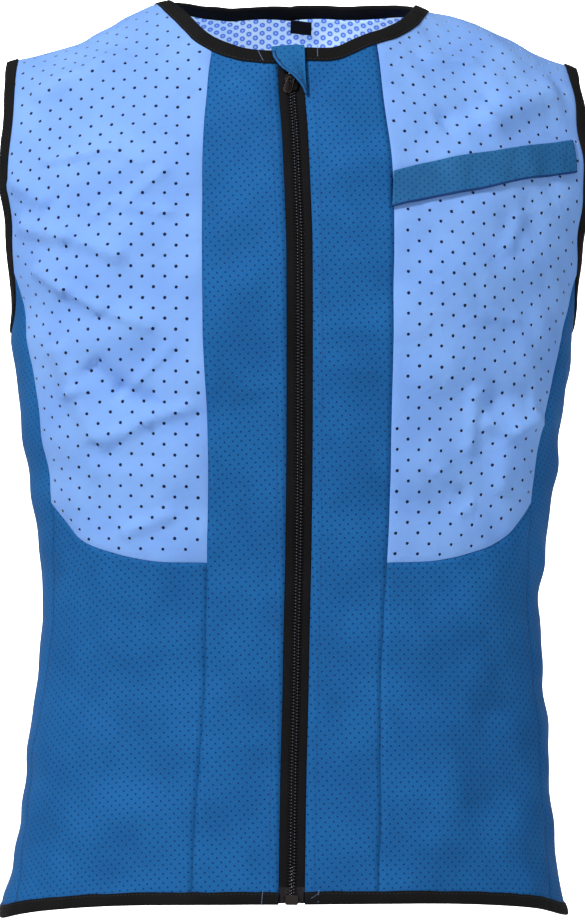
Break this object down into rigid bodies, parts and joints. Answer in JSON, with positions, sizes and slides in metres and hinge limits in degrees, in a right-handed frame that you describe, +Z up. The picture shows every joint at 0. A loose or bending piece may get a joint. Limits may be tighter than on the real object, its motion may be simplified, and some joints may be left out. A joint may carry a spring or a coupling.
{
  "type": "cooling vest",
  "caption": "Sleeveless zip-front cooling vest: pale perforated chest and back panels, blue mesh centre, side and lower panels, black bound edges and a full-length zip.",
  "frame": {"origin": "midway between the shoulders, at the height of the two neck corners, where the wearer's shoulders carry the vest", "axes": "+Z up the body, +X to the wearer's left, front and zip towards -Y"},
  "size_m": [0.4484, 0.2467, 0.715],
  "materials": {
    "mesh_blue": "fine perforated knit mesh",
    "pale_blue": "smooth cloth with rows of round holes",
    "binding_black": "folded edge binding",
    "net_pale": "open net lining",
    "tape_black": "woven zip tape",
    "slider_metal": "black coated metal",
    "zip_plastic": "black plastic"
  },
  "bodies": {
    "vest": {"front_right_centre_panel": "mesh_blue", "front_right_chest_panel": "pale_blue", "front_right_lower_panel": "mesh_blue", "side_panel_right": "mesh_blue", "armhole_binding_right": "binding_black", "front_left_centre_panel": "mesh_blue", "front_left_chest_panel": "pale_blue", "front_left_lower_panel": "mesh_blue", "side_panel_left": "mesh_blue", "armhole_binding_left": "binding_black", "back_upper_panel": "pale_blue", "back_lower_panel": "mesh_blue", "back_lining": "net_pale", "neck_binding": "binding_black", "hem_binding": "binding_black", "zip_tape_right": "tape_black", "zip_tape_left": "tape_black", "zip_chain": "zip_plastic", "zip_slider": "slider_metal", "zip_box": "zip_plastic", "zip_guard": "mesh_blue", "chest_strip": "mesh_blue", "neck_label": "binding_black"},
    "puller": {"zip_puller": "slider_metal"}
  },
  "joints": [
    {"name": "puller_hinge", "type": "hinge", "parent": "vest", "child": "puller", "pos_m": [-0.00491, -0.10028, -0.0656], "axis": [-0.9547, 0.1159, 0.2742], "range_deg": [0, 45]}
  ]
}
